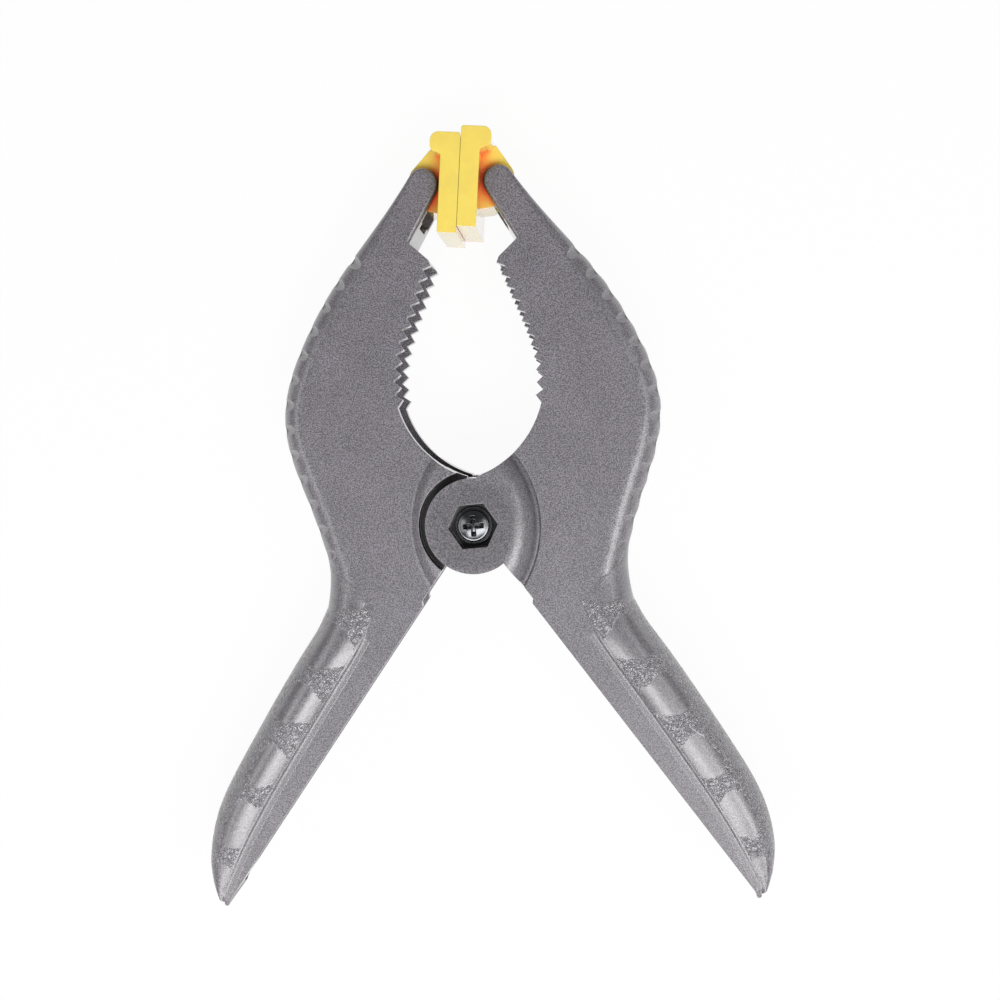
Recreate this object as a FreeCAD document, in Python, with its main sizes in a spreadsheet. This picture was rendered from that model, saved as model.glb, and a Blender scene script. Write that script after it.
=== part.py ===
import FreeCAD, Part
import math
import os

from FreeCAD import Placement, Rotation, Vector

# A nine inch spring clamp, lying flat. Millimetres. X runs across the clamp, Y from the pivot to
# the jaws and Z along the pivot. The origin is on the pivot axis, at the hub's lower face.

SIZES = {
    # the hub, over both outer ears
    "hub_thickness": 30.0,
    "outer_ear": 6.2,
    "inner_ear": 2.6,
    "ear_gap": 0.2,
    "disc_radius": 14.15,
    "disc_groove": 2.2,
    "ear_sweep_gap": 0.45,
    "boss_shift": 14.7,
    "boss_top_radius": 30.3,
    "boss_foot_radius": 33.4,
    "boss_round": 4.6,
    "boss_foot_round": 1.1,
    "recess_radius": 34.6,
    "recess_depth": 1.0,
    "ear_root": 5.0,
    "ridge_drop": 1.7,
    # hex pockets and the pivot hardware in them
    "hex_flats": 12.8,
    "hex_turn": 3.5,
    "hex_depth": 4.6,
    "nut_flats_gap": 0.3,
    "barrel_radius": 4.0,
    "barrel_fit": 0.08,
    "barrel_end_play": 0.1,
    "screw_radius": 2.45,
    "thread_fit": 0.05,
    "screw_reach": 17.0,
    "screw_head_radius": 4.75,
    "screw_head": 3.2,
    "screw_rim": 1.1,
    "screw_chamfer": 0.6,
    "bore_spare": 1.5,
    "cross_length": 6.2,
    "cross_width": 1.45,
    "cross_depth": 2.0,
    "washer_radius": 5.5,
    "washer_thickness": 0.9,
    "washer_hole_gap": 0.2,
    # the lever moulding
    "jaw_thickness": 21.0,
    "cheek_wall": 3.0,
    "spine_wall": 3.8,
    "spine_round": 7.0,
    "arm_round": 1.2,
    "pin_offset": 11.1,
    "pin_height": 100.7,
    "arm_tip_radius": 4.6,
    "fork_radius": 10.8,
    "belly_width": 56.7,
    "belly_height": 33.0,
    "waist_width": 44.6,
    "waist_height": -12.5,
    "tooth_pitch": 3.72,
    "tooth_depth": 2.0,
    "throat_radius": 30.8,
    "rib": 2.0,
    "scallop_pitch": 8.0,
    "scallop_radius": 13.0,
    "scallop_depth": 0.5,
    "scallop_start": 30.0,
    "thumb_radius": 2.0,
    "thumb_depth": 0.6,
    "thumb_inset": 2.4,
    # the handle and its raised grip
    "handle_angle": 35.5,
    "handle_length": 140.3,
    "edge_set_back": 0.5,
    "edge_stand_out": 0.5,
    "step_distance": 29.0,
    "grip_width": 22.0,
    "grip_half": 12.8,
    "grip_lip": 0.7,
    "handle_tip_radius": 1.6,
    # the swivel pads
    "pad_tilt": 5.2,
    "pad_gap": 0.1,
    "pad_slab": 5.6,
    "pad_top": 14.1,
    "pad_bottom": 14.5,
    "pad_head_width": 8.8,
    "pad_head_height": 5.6,
    "pad_corner": 2.4,
    "pad_nose": 0.8,
    "pad_chin": 1.6,
    "lug_root": 1.0,
    "lug_gap": 0.3,
    "trunnion_radius": 2.5,
    "trunnion_fit": 0.08,
    "trunnion_length": 1.7,
    "socket_depth": 2.0,
    # the torsion spring round the barrel
    "wire_diameter": 2.8,
    "coil_radius": 7.8,
    "coil_pitch": 4.0,
    "leg_length": 38.0,
    "leg_seat_gap": 0.3,
}
TEETH = 12
SCALLOPS = 13
THUMB_STEEPER = math.radians(12)  # how much steeper than the shoulder the half-moon scoops run
SPRING_TURNS = 2

# The gripping line of the teeth, as the four control points of one curve from the first tooth
# under the notch down to the last one, and the outer edge from the arm to the waist. Both are
# offsets from the driving points named first.
TOOTH_LINE = [("pin", -1.4, -23.85), ("pin", 4.6, -40.8), ("belly", -34.5, 16.9), ("belly", -37.1, 4.05)]
OUTER_EDGE = [
    ("pin", 15.1, -11.8),
    ("pin", 28.6, -27.8),
    ("belly", -7.7, 24.7),
    ("belly", 0.0, 0.0),
    ("belly", -2.2, -13.9),
    ("waist", 5.5, 18.7),
    ("waist", 0.0, 0.0),
]
ARM_STRETCH = 2  # how many of those stretches belong to the arm, whose edge is less rounded
NOTCH = ("pin", 4.8, -17.1)
BROW = ("pin", -0.7, -22.1)
ARM_START = 33.0  # where the outer edge leaves the arm's round tip, in degrees
THROAT_START = 83.7  # where the throat leaves the hub disc, just right of the clamp's axis
DISC_FREE_SIDE = 195.0  # a point on the disc's free side

# Where the outer edge dives under the grip, and the flat strip's last corners measured from the
# handle's end: distances down the handle and off its inner edge.
EDGE_DIVE = [(46.0, 18.0), (53.0, 12.0)]
STRIP_CORNERS = [(-19.0, 7.5), (-3.0, 2.2), (-0.3, 0.2)]
STRIP_TIP = (-0.2, -0.63)

# The channel's other corners: its end wall behind the arm's notch, and its open side, which lies
# outside the moulding.
CHANNEL_TOP = ("pin", 9.0, 2.0)
NOTCH_WALL = [
    ("pin", -1.6, 2.0),
    ("pin", 6.7, -15.9),
    ("pin", 6.0, -19.0),
    ("pin", 0.4, -23.1),
    ("pin", -8.0, -23.3),
]
OPEN_SIDE = [(-34.9, -20.0), (-13.7, 4.9), (8.0, -12.0), (131.0, -6.0)]
CHANNEL_STATIONS = slice(3, 8)  # the grip stations that the channel follows
CHANNEL_INSET = 1.35  # how many spine walls it keeps from the grip's outer edge

# The window in the arm's inner wall, from the pin: its middle and its two half lengths.
WINDOW = ("pin", -0.1, -11.0)
WINDOW_ALONG = Vector(1.16, -1.87, 0)
WINDOW_ACROSS = Vector(2.97, 1.84, 0)
WINDOW_FLOOR, WINDOW_ROOF = 1.5, 2.5

# A soft corner in a profile: the most that the shoulder's and the foot's legs take of the slope
# between them, and how far the arc's middle goes to the corner.
SHOULDER_SHARE, FOOT_SHARE = 0.76, 0.2
SOFT_MIDDLE = 0.45
ROUND_MIDDLE = 1 - math.sqrt(0.5)  # the same for a true quarter circle, as a share of its radius

# The grip's stations down the handle: distance from the pivot, border and outer edge measured
# from the inner edge as shares of the grip's width, and share of the grip's half thickness.
GRIP_STATIONS = [
    (30.0, 0.60, 1.38, 0.74),
    (38.0, 0.50, 1.25, 0.82),
    (47.0, 0.42, 1.085, 0.93),
    (61.0, 0.38, 1.035, 1.00),
    (85.0, 0.345, 0.99, 1.00),
    (106.0, 0.295, 0.92, 0.98),
    (119.0, 0.24, 0.83, 0.95),
    (127.0, 0.185, 0.70, 0.92),
    (132.5, 0.135, 0.56, 0.90),
    (136.8, 0.085, 0.375, 0.88),
    (139.6, 0.03, 0.17, 0.86),
]
CROWN = ((0.0, 0.0), (0.2, 0.5), (0.4, 1.0))  # share of the width, share of the rise to the crown
CROWN_END = 0.4
BACK = (0.7, 0.9)  # the points between the crown and the outer edge
HANDLE_RIBS = (57.0, 77.0, 97.0, 115.0)
RIB_SPAN = (5.0, 8.0)  # from the handle's inner edge, and past the grip's width
BELLY_RIBS = [((24.0, 38.0), (60.0, 30.0)), ((24.0, 46.0), (56.0, 58.0)), ((22.0, 62.0), (46.0, 80.0))]
HUB_RIBS = [((22.0, 12.0), (56.0, 16.0)), ((22.0, -4.0), (50.0, -10.0))]

doc = FreeCAD.newDocument("spring_clamp")
sheet = doc.addObject("Spreadsheet::Sheet", "Sizes")
for row, (word, number) in enumerate(SIZES.items(), start=1):
    sheet.set(f"A{row}", word)
    sheet.set(f"B{row}", str(number))
    sheet.setAlias(f"B{row}", word)
doc.recompute()


def size(word):
    """A driving dimension, read from the sheet."""
    return float(getattr(sheet, word))


MID = size("hub_thickness") / 2
JAW_LOW = MID - size("jaw_thickness") / 2
JAW_HIGH = MID + size("jaw_thickness") / 2
PIN = Vector(size("pin_offset"), size("pin_height"), 0)
ANCHORS = {
    "pin": PIN,
    "belly": Vector(size("belly_width"), size("belly_height"), 0),
    "waist": Vector(size("waist_width"), size("waist_height"), 0),
}
HANDLE_LEAN = math.radians(size("handle_angle"))
DOWN_HANDLE = Vector(math.sin(HANDLE_LEAN), -math.cos(HANDLE_LEAN), 0)
OFF_HANDLE = Vector(-DOWN_HANDLE.y, DOWN_HANDLE.x, 0)


JAW_FLOOR = "(Sizes.hub_thickness - Sizes.jaw_thickness) / 2"
JAW_ROOF = "(Sizes.hub_thickness + Sizes.jaw_thickness) / 2"
CHANNEL_FLOOR = JAW_FLOOR + " + Sizes.cheek_wall"
CHANNEL_ROOF = JAW_ROOF + " - Sizes.cheek_wall"
BARREL_END = "Sizes.hub_thickness - Sizes.hex_depth + Sizes.barrel_end_play"


def anchored(points):
    """Points given as an anchor's name and an offset, as vectors."""
    return [ANCHORS[name] + Vector(dx, dy, 0) for name, dx, dy in points]


def on_handle(along, off):
    """A point by its distance down the handle and its distance out from the inner edge's line."""
    return DOWN_HANDLE * along + OFF_HANDLE * off


def polar(radius, degrees):
    return Vector(radius * math.cos(math.radians(degrees)), radius * math.sin(math.radians(degrees)), 0)


def spline(points):
    curve = Part.BSplineCurve()
    curve.interpolate(points)
    return curve


def circle(radius):
    return Part.Circle(Vector(0, 0, 0), Vector(0, 0, 1), radius)


def lines(points):
    return [Part.LineSegment(a, b) for a, b in zip(points, points[1:])]


def extruded(name, geometry, low, high):
    """A prism over a closed sketch, from the height low to high, both expressions of the sheet."""
    sketch = doc.addObject("Sketcher::SketchObject", name + "_sketch")
    sketch.addGeometry(geometry, False)
    sketch.setExpression("Placement.Base.z", low)
    prism = doc.addObject("Part::Extrusion", name)
    prism.Base = sketch
    prism.DirMode = "Custom"
    prism.Dir = Vector(0, 0, 1)
    prism.Solid = True
    prism.setExpression("LengthFwd", f"({high}) - ({low})")
    return prism


def cylinder(name, radius, low, high, x="0", y="0"):
    body = doc.addObject("Part::Cylinder", name)
    body.setExpression("Radius", radius)
    body.setExpression("Height", f"({high}) - ({low})")
    body.setExpression("Placement.Base.x", x)
    body.setExpression("Placement.Base.y", y)
    body.setExpression("Placement.Base.z", low)
    return body


def turned(name, profile, x="0"):
    """A solid of revolution about a line parallel to Z, from a profile drawn in the XZ plane."""
    sketch = doc.addObject("Sketcher::SketchObject", name + "_sketch")
    sketch.Placement = Placement(Vector(0, 0, 0), Rotation(Vector(1, 0, 0), 90))
    sketch.addGeometry(profile, False)
    body = doc.addObject("Part::Revolution", name)
    body.Source = sketch
    body.Axis = Vector(0, 0, 1)
    body.Base = Vector(0, 0, 0)
    body.Angle = 360
    body.Solid = True
    body.setExpression("Placement.Base.x", x)
    return body


def fused(name, *shapes):
    body = doc.addObject("Part::MultiFuse", name)
    body.Shapes = list(shapes)
    return body


def cut(name, base, tool):
    body = doc.addObject("Part::Cut", name)
    body.Base = base
    body.Tool = tool
    return body


def common(name, *shapes):
    body = doc.addObject("Part::MultiCommon", name)
    body.Shapes = list(shapes)
    return body


# The lever's outline


def tooth_points():
    """Tips and valleys of the toothed edge, from the last tooth above the throat to the first."""
    gripping = Part.BezierCurve()
    gripping.setPoles(anchored(TOOTH_LINE))
    edge = gripping.toShape()
    points = []
    for tooth in range(TEETH):
        for half, depth in ((0.0, 0.0), (0.5, size("tooth_depth"))):
            reach = (tooth + half) * size("tooth_pitch")
            place = edge.getParameterByLength(min(reach, edge.Length))
            tangent = edge.tangentAt(place)
            spare = reach - min(reach, edge.Length)
            inward = Vector(-tangent.y, tangent.x, 0)
            points.append(edge.valueAt(place) + tangent * spare + inward * depth)
    points.reverse()
    return points


def throat_start():
    """Where the throat's arc leaves the hub disc, just right of the clamp's axis."""
    return polar(size("disc_radius") + size("ear_sweep_gap"), THROAT_START)


def tangent_point(centre, radius, outside, side):
    """Where a line from a point outside a circle touches it, on its left (+1) or right (-1)."""
    away = outside - centre
    turn = math.acos(radius / away.Length)
    heading = math.atan2(away.y, away.x) - side * turn
    return centre + Vector(math.cos(heading), math.sin(heading), 0) * radius


def outer_edge():
    """The outer edge's two curves: down the arm, and round the belly into the grip."""
    start = PIN + polar(size("arm_tip_radius"), ARM_START)
    whole = spline([start] + anchored(OUTER_EDGE) + [on_handle(*place) for place in EDGE_DIVE])
    knots = whole.getKnots()
    split = knots[ARM_STRETCH]
    arm = whole.copy()
    arm.segment(knots[0], split)
    belly = whole.copy()
    belly.segment(split, knots[-1])
    return arm, belly, whole, knots


def lever_outline():
    """The closed outline of the flat moulding: hub disc, throat, teeth, arm, belly and handle."""
    disc = size("disc_radius")
    teeth = tooth_points()
    apex = throat_start()
    notch, brow = anchored([NOTCH, BROW])
    tip_left = tangent_point(PIN, size("arm_tip_radius"), notch, 1)
    arm, belly, _, _ = outer_edge()
    tip_right = arm.StartPoint
    length = size("handle_length")
    corners = [on_handle(length + back, off) for back, off in STRIP_CORNERS]
    tip_middle = on_handle(length + STRIP_TIP[0], STRIP_TIP[1])
    low_edge = -size("edge_stand_out")
    hub_edge = size("edge_set_back")
    step = size("step_distance")
    tip = size("handle_tip_radius")
    disc_meet = math.sqrt(disc**2 - hub_edge**2)
    inner = [
        on_handle(length - tip, low_edge),
        on_handle(step, low_edge),
        on_handle(step - (hub_edge - low_edge), hub_edge),
        on_handle(disc_meet, hub_edge),
    ]
    chord = teeth[0] - apex
    sag = size("throat_radius") - math.sqrt(size("throat_radius") ** 2 - (chord.Length / 2) ** 2)
    bulge = Vector(chord.y, -chord.x, 0).normalize() * sag
    geometry = [
        Part.LineSegment(polar(disc, THROAT_START), apex),
        Part.Arc(apex, apex + chord / 2 + bulge, teeth[0]),
        *lines(teeth + [brow, notch, tip_left]),
        Part.Arc(tip_left, PIN + Vector(0, size("arm_tip_radius"), 0), tip_right),
        arm,
        belly,
        *lines([belly.EndPoint, *corners]),
        Part.Arc(corners[-1], tip_middle, inner[0]),
        *lines(inner),
        Part.Arc(inner[-1], polar(disc, DISC_FREE_SIDE), polar(disc, THROAT_START)),
    ]
    return geometry


def rounded_body():
    """The flat moulding as one plate, its outer edge rounded over on both faces."""
    plate = extruded("body_plate", lever_outline(), JAW_FLOOR, JAW_ROOF)
    doc.recompute()
    arm, belly, _, _ = outer_edge()
    rounding = doc.addObject("Part::Fillet", "body_rounding")
    rounding.Base = plate
    chosen = []
    for number, edge in enumerate(plate.Shape.Edges, start=1):
        flat = edge.BoundBox.ZLength < 0.01
        ends = [vertex.Point for vertex in edge.Vertexes]
        if not flat or len(ends) != 2:
            continue
        heads = [Vector(p.x, p.y, 0) for p in ends]
        for curve, first, last in (
            (arm, size("arm_round"), size("spine_round")),
            (belly, size("spine_round"), size("spine_round")),
        ):
            a, b = curve.StartPoint, curve.EndPoint
            if heads[0].distanceToPoint(a) < 0.01 and heads[1].distanceToPoint(b) < 0.01:
                chosen.append((number, first, last))
            elif heads[0].distanceToPoint(b) < 0.01 and heads[1].distanceToPoint(a) < 0.01:
                chosen.append((number, last, first))
    rounding.Edges = chosen
    return rounding


def grip_section(name, along, border, outer, share):
    """One D-shaped section of the grip, square to the handle, with a crowned face on each side."""
    width = size("grip_width")
    near, far = border * width, outer * width
    crown = share * size("grip_half")
    lip = min(size("jaw_thickness") / 2, crown - 2 * size("grip_lip")) + size("grip_lip")
    shares = [(part, lip + (crown - lip) * math.sin(math.pi / 2 * climb)) for part, climb in CROWN]
    shares += [(part, crown * math.sqrt(1 - ((part - CROWN_END) / (1 - CROWN_END)) ** 2)) for part in BACK]
    upper = [(near + part * (far - near), rise) for part, rise in shares]
    lower = [(across, -rise) for across, rise in reversed(upper)]
    points = [Vector(across, rise, 0) for across, rise in upper + [(far, 0.0)] + lower]
    sketch = doc.addObject("Sketcher::SketchObject", name)
    sketch.addGeometry([spline(points), Part.LineSegment(points[-1], points[0])], False)
    sketch.Placement = Placement(
        on_handle(along, 0) + Vector(0, 0, MID), Rotation(OFF_HANDLE, Vector(0, 0, 1), DOWN_HANDLE)
    )
    return sketch


def grip():
    """The raised, rounded grip that runs from the waist to the handle's end."""
    loft = doc.addObject("Part::Loft", "grip_loft")
    for number, station in enumerate(GRIP_STATIONS, start=1):
        loft.Sections += [grip_section(f"grip_section_{number}", *station)]
    loft.Solid = True
    loft.Ruled = False
    return loft


def soft_middle(start, corner, end):
    """The middle of the arc that softens a corner between two points on its legs."""
    chord = (start + end) / 2
    return chord + (corner - chord) * SOFT_MIDDLE


def boss_profile(foot, top):
    """Half section of the hub's swelling: a flat top, a soft shoulder, a slope and a soft foot."""
    wide, narrow = size("boss_foot_radius"), size("boss_top_radius")
    rise = 1 if top > foot else -1
    slope = Vector(narrow - wide, top - foot, 0)
    soft = min(size("boss_round"), slope.Length * SHOULDER_SHARE)
    low_soft = min(size("boss_foot_round"), slope.Length * FOOT_SHARE)
    unit = Vector(slope).normalize()
    shoulder_low = Vector(narrow, top, 0) - unit * soft
    shoulder_high = Vector(narrow - soft, top, 0)
    foot_high = Vector(wide, foot, 0) + unit * low_soft
    foot_low = Vector(wide + low_soft, foot, 0)
    base = foot - rise * size("recess_depth")
    shoulder = soft_middle(shoulder_high, Vector(narrow, top, 0), shoulder_low)
    return [
        Part.LineSegment(Vector(0, top, 0), shoulder_high),
        Part.Arc(shoulder_high, shoulder, shoulder_low),
        Part.LineSegment(shoulder_low, foot_high),
        Part.Arc(foot_high, soft_middle(foot_high, Vector(wide, foot, 0), foot_low), foot_low),
        *lines([foot_low, Vector(foot_low.x, base, 0), Vector(0, base, 0), Vector(0, top, 0)]),
    ]


def hub_bosses():
    """The plateau over the outer ear, and the ridge that guards the other lever's disc."""
    full = size("hub_thickness")
    step = size("recess_depth")
    near = turned("plateau_turned", boss_profile(JAW_HIGH - step, full), "-Sizes.boss_shift")
    far = turned("ridge_turned", boss_profile(JAW_LOW, size("ridge_drop")), "-Sizes.boss_shift")
    outline = extruded("hub_outline", lever_outline(), "0", "Sizes.hub_thickness")
    return common("plateau", outline, near), common("ridge", outline, far)


def recess():
    """The shallow round step round the plateau's foot."""
    low = f"{JAW_ROOF} - Sizes.recess_depth"
    return cylinder("recess", "Sizes.recess_radius", low, f"{JAW_ROOF} + 1", "-Sizes.boss_shift")


def cavity():
    """The channel between the cheeks, open along the throat and the handle's inner edge."""
    _, _, whole, knots = outer_edge()
    wall = size("spine_wall")
    inset = []
    for knot in knots[1:-2]:
        tangent = whole.tangent(knot)[0]
        inset.append(whole.value(knot) + Vector(tangent.y, -tangent.x, 0) * wall)
    for along, _, outer, _ in GRIP_STATIONS[CHANNEL_STATIONS]:
        inset.append(on_handle(along, outer * size("grip_width") - wall * CHANNEL_INSET))
    (top,) = anchored([CHANNEL_TOP])
    mouth = [on_handle(*place) for place in reversed(OPEN_SIDE)]
    geometry = [
        Part.LineSegment(top, inset[0]),
        spline(inset),
        *lines([inset[-1], *mouth, *reversed(anchored(NOTCH_WALL)), top]),
    ]
    return extruded("channel", geometry, CHANNEL_FLOOR, CHANNEL_ROOF)


def rib_plate(name, start, end, thickness):
    """A web across the channel, from its free edge to the spine."""
    run = end - start
    side = Vector(-run.y, run.x, 0).normalize() * (thickness / 2)
    corners = [start - side, end - side, end + side, start + side, start - side]
    return extruded(name, lines(corners), "0", "Sizes.hub_thickness")


def ribs():
    """The webs of the channel, the spring leg's seat and the root of the inner ear."""
    plates = []
    for number, (start, end) in enumerate(BELLY_RIBS + HUB_RIBS, start=1):
        plates.append(rib_plate(f"belly_rib_{number}", Vector(*start, 0), Vector(*end, 0), size("rib")))
    for number, along in enumerate(HANDLE_RIBS, start=1):
        edge = on_handle(along, RIB_SPAN[0])
        spine = on_handle(along, size("grip_width") + RIB_SPAN[1])
        plates.append(rib_plate(f"handle_rib_{number}", edge, spine, size("rib")))
    seat = size("coil_radius") + size("wire_diameter") / 2 + size("leg_seat_gap")
    under_leg = size("leg_length") - 2 * size("rib")
    edge = on_handle(under_leg, seat)
    spine = on_handle(under_leg, size("grip_width") + RIB_SPAN[1])
    plates.append(rib_plate("spring_seat", edge, spine, 2 * size("rib")))
    ear = "Sizes.outer_ear + Sizes.ear_gap"
    root = cylinder("inner_ear_root", "Sizes.disc_radius + Sizes.ear_root", ear, f"{ear} + Sizes.inner_ear")
    return fused("rib_set", *plates, root)


def hub_cuts():
    """Room for the other lever's ears, the barrel's bore and the hex pocket."""
    hub, ear, gap = "Sizes.hub_thickness", "Sizes.outer_ear", "Sizes.ear_gap"
    sweep = cylinder(
        "ear_sweep", "Sizes.disc_radius + Sizes.ear_sweep_gap",
        f"{ear} + {gap} + Sizes.inner_ear", f"{hub} - {ear}",
    )
    groove = cylinder("disc_groove", "Sizes.disc_radius + Sizes.disc_groove", "-1", f"{ear} + {gap}")
    bore = cylinder("barrel_bore", "Sizes.barrel_radius + Sizes.barrel_fit", "-1", f"{hub} + 1")
    pocket = hex_prism("hex_pocket", "Sizes.hex_flats", f"{hub} - Sizes.hex_depth", f"{hub} + 1")
    return fused("hub_tools", sweep, groove, bore, pocket)


def hex_prism(name, flats, low, high):
    """A regular six-sided prism on the pivot, given across its flats."""
    prism = doc.addObject("Part::Prism", name)
    prism.Polygon = 6
    prism.setExpression("Circumradius", f"{flats} / sqrt(3)")
    prism.setExpression("Height", f"({high}) - ({low})")
    prism.setExpression("Placement.Base.z", low)
    prism.Placement.Rotation = Rotation(Vector(0, 0, 1), size("hex_turn"))
    return prism


def arm_cuts():
    """The fork for the pad's lug, its two blind sockets and the window in the arm's inner wall."""
    at_pin = ("Sizes.pin_offset", "Sizes.pin_height")
    fork = cylinder("fork", "Sizes.fork_radius", CHANNEL_FLOOR, CHANNEL_ROOF, *at_pin)
    low, high = f"{CHANNEL_FLOOR} - Sizes.socket_depth", f"{CHANNEL_ROOF} + Sizes.socket_depth"
    sockets = cylinder("trunnion_sockets", "Sizes.trunnion_radius + Sizes.trunnion_fit", low, high, *at_pin)
    (centre,) = anchored([WINDOW])
    near, far = centre - WINDOW_ACROSS, centre + WINDOW_ACROSS
    corners = [near - WINDOW_ALONG, near + WINDOW_ALONG, far + WINDOW_ALONG, far - WINDOW_ALONG]
    low, high = f"{CHANNEL_FLOOR} + {WINDOW_FLOOR}", f"{CHANNEL_ROOF} - {WINDOW_ROOF}"
    window = extruded("window", lines(corners + corners[:1]), low, high)
    return fused("arm_tools", fork, sockets, window)


def thumb(name, spot, outward, up):
    """The half-moon scoop in the middle of a notch, cut down over the rounded shoulder."""
    round_radius = size("spine_round")
    lean = math.asin(1 - size("thumb_inset") / round_radius)
    off_shoulder = outward * math.sin(lean) + up * math.cos(lean)
    way = outward * math.cos(lean + THUMB_STEEPER) - up * math.sin(lean + THUMB_STEEPER)
    drop = round_radius * (1 - math.cos(lean))
    on_surface = spot - up * drop
    centre = on_surface + off_shoulder * (size("thumb_radius") - size("thumb_depth"))
    half = 2 * size("thumb_radius")
    scoop = doc.addObject("Part::Cylinder", name)
    scoop.setExpression("Radius", "Sizes.thumb_radius")
    scoop.Height = 2 * half
    scoop.Placement = Placement(centre - way * half, Rotation(Vector(0, 0, 1), way))
    return scoop


def scallops():
    """The row of shallow finger notches across the rounded back of the belly."""
    _, _, whole, _ = outer_edge()
    edge = whole.toShape()
    tools = []
    stand_off = size("scallop_radius") - size("scallop_depth")
    for number in range(SCALLOPS):
        place = edge.getParameterByLength(size("scallop_start") + number * size("scallop_pitch"))
        tangent = edge.tangentAt(place)
        outward = Vector(-tangent.y, tangent.x, 0)
        centre = edge.valueAt(place) + outward * stand_off
        where = ("0", "Sizes.hub_thickness", str(centre.x), str(centre.y))
        tools.append(cylinder(f"scallop_{number + 1}", "Sizes.scallop_radius", *where))
        for side, roof in (("near", JAW_HIGH), ("far", JAW_LOW)):
            up = Vector(0, 0, 1 if side == "near" else -1)
            spot = edge.valueAt(place) - outward * size("thumb_inset") + Vector(0, 0, roof)
            tools.append(thumb(f"thumb_{side}_{number + 1}", spot, outward, up))
    return fused("scallop_tools", *tools)


def make_lever():
    """The lever moulding as it lies on the right: its outer ear is the upper one."""
    body = cut("body_recessed", rounded_body(), recess())
    body = cut("body_scalloped", body, scallops())
    plateau, ridge = hub_bosses()
    solid = fused("moulding_solid", body, grip(), plateau, ridge)
    hollow = cut("hollow", cavity(), ribs())
    solid = cut("moulding_hollow", solid, hollow)
    solid = cut("moulding_hub", solid, hub_cuts())
    lever = cut("right_lever", solid, arm_cuts())
    lever.Label = "right_lever"
    return lever


def turn_over(name, source):
    """The same moulding turned over about the clamp's long axis."""
    copy = doc.addObject("Part::Feature", name)
    copy.Shape = source.Shape.copy()
    over = Placement(Vector(0, 0, size("hub_thickness")), Rotation(Vector(0, 1, 0), 180))
    copy.Placement = over.multiply(source.Placement)
    copy.Label = name
    return copy


# The swivel pads


def origin_plane(body, role):
    return next(feature for feature in body.Origin.OriginFeatures if feature.Role == role)


def body_sketch(body, name, geometry, plane="XY_Plane", height="0"):
    sketch = body.newObject("Sketcher::SketchObject", name)
    sketch.AttachmentSupport = [(origin_plane(body, plane), "")]
    sketch.MapMode = "FlatFace"
    sketch.addGeometry(geometry, False)
    sketch.setExpression("AttachmentOffset.Base.z", height)
    return sketch


def body_pad(body, name, sketch, length):
    pad = body.newObject("PartDesign::Pad", name)
    pad.Profile = sketch
    pad.setExpression("Length", length)
    return pad


def body_pocket(body, name, sketch, length):
    pocket = body.newObject("PartDesign::Pocket", name)
    pocket.Profile = sketch
    pocket.setExpression("Length", length)
    return pocket


def rounded_corner(corner, radius, in_x, in_y, out_x, out_y):
    """The quarter circle at a square corner, from its leg on one side to its leg on the other."""
    first, second = Vector(in_x, in_y, 0) * radius, Vector(out_x, out_y, 0) * radius
    return Part.Arc(corner + first, corner + (first + second) * ROUND_MIDDLE, corner + second)


def slab_outline(face):
    """The pad's end view: a flat slab with a rounded head turned outwards at its upper end."""
    top, bottom = size("pad_top"), -size("pad_bottom")
    back = -face + size("pad_slab")
    head = -face + size("pad_head_width")
    under = top - size("pad_head_height")
    nose = rounded_corner(Vector(-face, top, 0), size("pad_nose"), 0, -1, 1, 0)
    corner = rounded_corner(Vector(head, top, 0), size("pad_corner"), -1, 0, 0, -1)
    chin = rounded_corner(Vector(head, under, 0), size("pad_chin"), 0, 1, -1, 0)
    low_front, low_back = Vector(-face, bottom, 0), Vector(back, bottom, 0)
    neck = Vector(back, under - size("pad_chin") / 2, 0)
    return [
        Part.LineSegment(low_front, nose.StartPoint),
        nose,
        Part.LineSegment(nose.EndPoint, corner.StartPoint),
        corner,
        Part.LineSegment(corner.EndPoint, chin.StartPoint),
        chin,
        *lines([chin.EndPoint, neck, low_back, low_front]),
    ]


# The lug's end view from the trunnions' axis: its root's two ends, its upper and lower flanks and
# the middle of its rounded back.
LUG_ROOT = (9.0, -8.3)
LUG_ABOVE = [Vector(-1.4, 10.5, 0), Vector(3.8, 4.0, 0)]
LUG_BACK = Vector(4.3, -1.6, 0)
LUG_BELOW = [Vector(1.4, -5.4, 0), Vector(-1.6, -7.4, 0)]


def lug_outline(face):
    """The lug between the arm's cheeks: broad on the slab, rounded round the trunnions."""
    inside = -face + size("pad_slab") - size("lug_root")
    above, below = LUG_ABOVE[-1], LUG_BELOW[0]
    root_high, root_low = Vector(inside, LUG_ROOT[0], 0), Vector(inside, LUG_ROOT[1], 0)
    return [
        *lines([root_low, root_high, *LUG_ABOVE]),
        Part.Arc(above, LUG_BACK, below),
        *lines([*LUG_BELOW, root_low]),
    ]


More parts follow.
